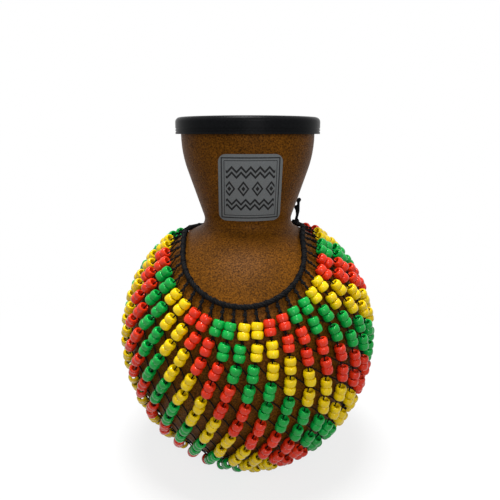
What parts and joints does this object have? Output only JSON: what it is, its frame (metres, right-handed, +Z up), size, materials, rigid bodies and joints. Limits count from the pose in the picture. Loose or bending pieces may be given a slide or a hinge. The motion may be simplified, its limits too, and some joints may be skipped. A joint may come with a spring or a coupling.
{
  "type": "shekere",
  "caption": "Round hollow gourd rattle with a flared open neck and a rubber-trimmed lip, dressed in a loose net of cords strung with red, yellow and green beads that turns around it.",
  "frame": {"origin": "centre of the flat base that the gourd stands on", "axes": "+Z up along the gourd's axis towards the open mouth, -Y to the front"},
  "size_m": [0.2278, 0.2279, 0.3038],
  "materials": {
    "gourd": "moulded fibreglass, pebbled brown, satin",
    "trim": "black moulded rubber, satin",
    "label": "silver-grey printed vinyl",
    "cord": "black waxed braided cord",
    "red_bead": "opaque glossy plastic",
    "yellow_bead": "opaque glossy plastic",
    "green_bead": "opaque glossy plastic"
  },
  "bodies": {
    "gourd": {"gourd_shell": "gourd", "rim_trim": "trim", "neck_label": "label"},
    "net": {"base_cord": "cord", "base_hitches": "cord", "bead_cords": "cord", "collar_cord": "cord", "collar_hitches": "cord", "collar_tie": "cord", "cross_cords": "cord", "green_beads_1": "green_bead", "green_beads_2": "green_bead", "green_beads_3": "green_bead", "green_beads_4": "green_bead", "green_beads_5": "green_bead", "green_beads_6": "green_bead", "net_knots": "cord", "red_beads_1": "red_bead", "red_beads_2": "red_bead", "red_beads_3": "red_bead", "red_beads_4": "red_bead", "red_beads_5": "red_bead", "red_beads_6": "red_bead", "yellow_beads_1": "yellow_bead", "yellow_beads_2": "yellow_bead", "yellow_beads_3": "yellow_bead", "yellow_beads_4": "yellow_bead", "yellow_beads_5": "yellow_bead", "yellow_beads_6": "yellow_bead"}
  },
  "joints": [
    {"name": "net_twist", "type": "hinge", "parent": "gourd", "child": "net", "pos_m": [0, 0, 0], "axis": [0, 0, 1], "continuous": true}
  ]
}
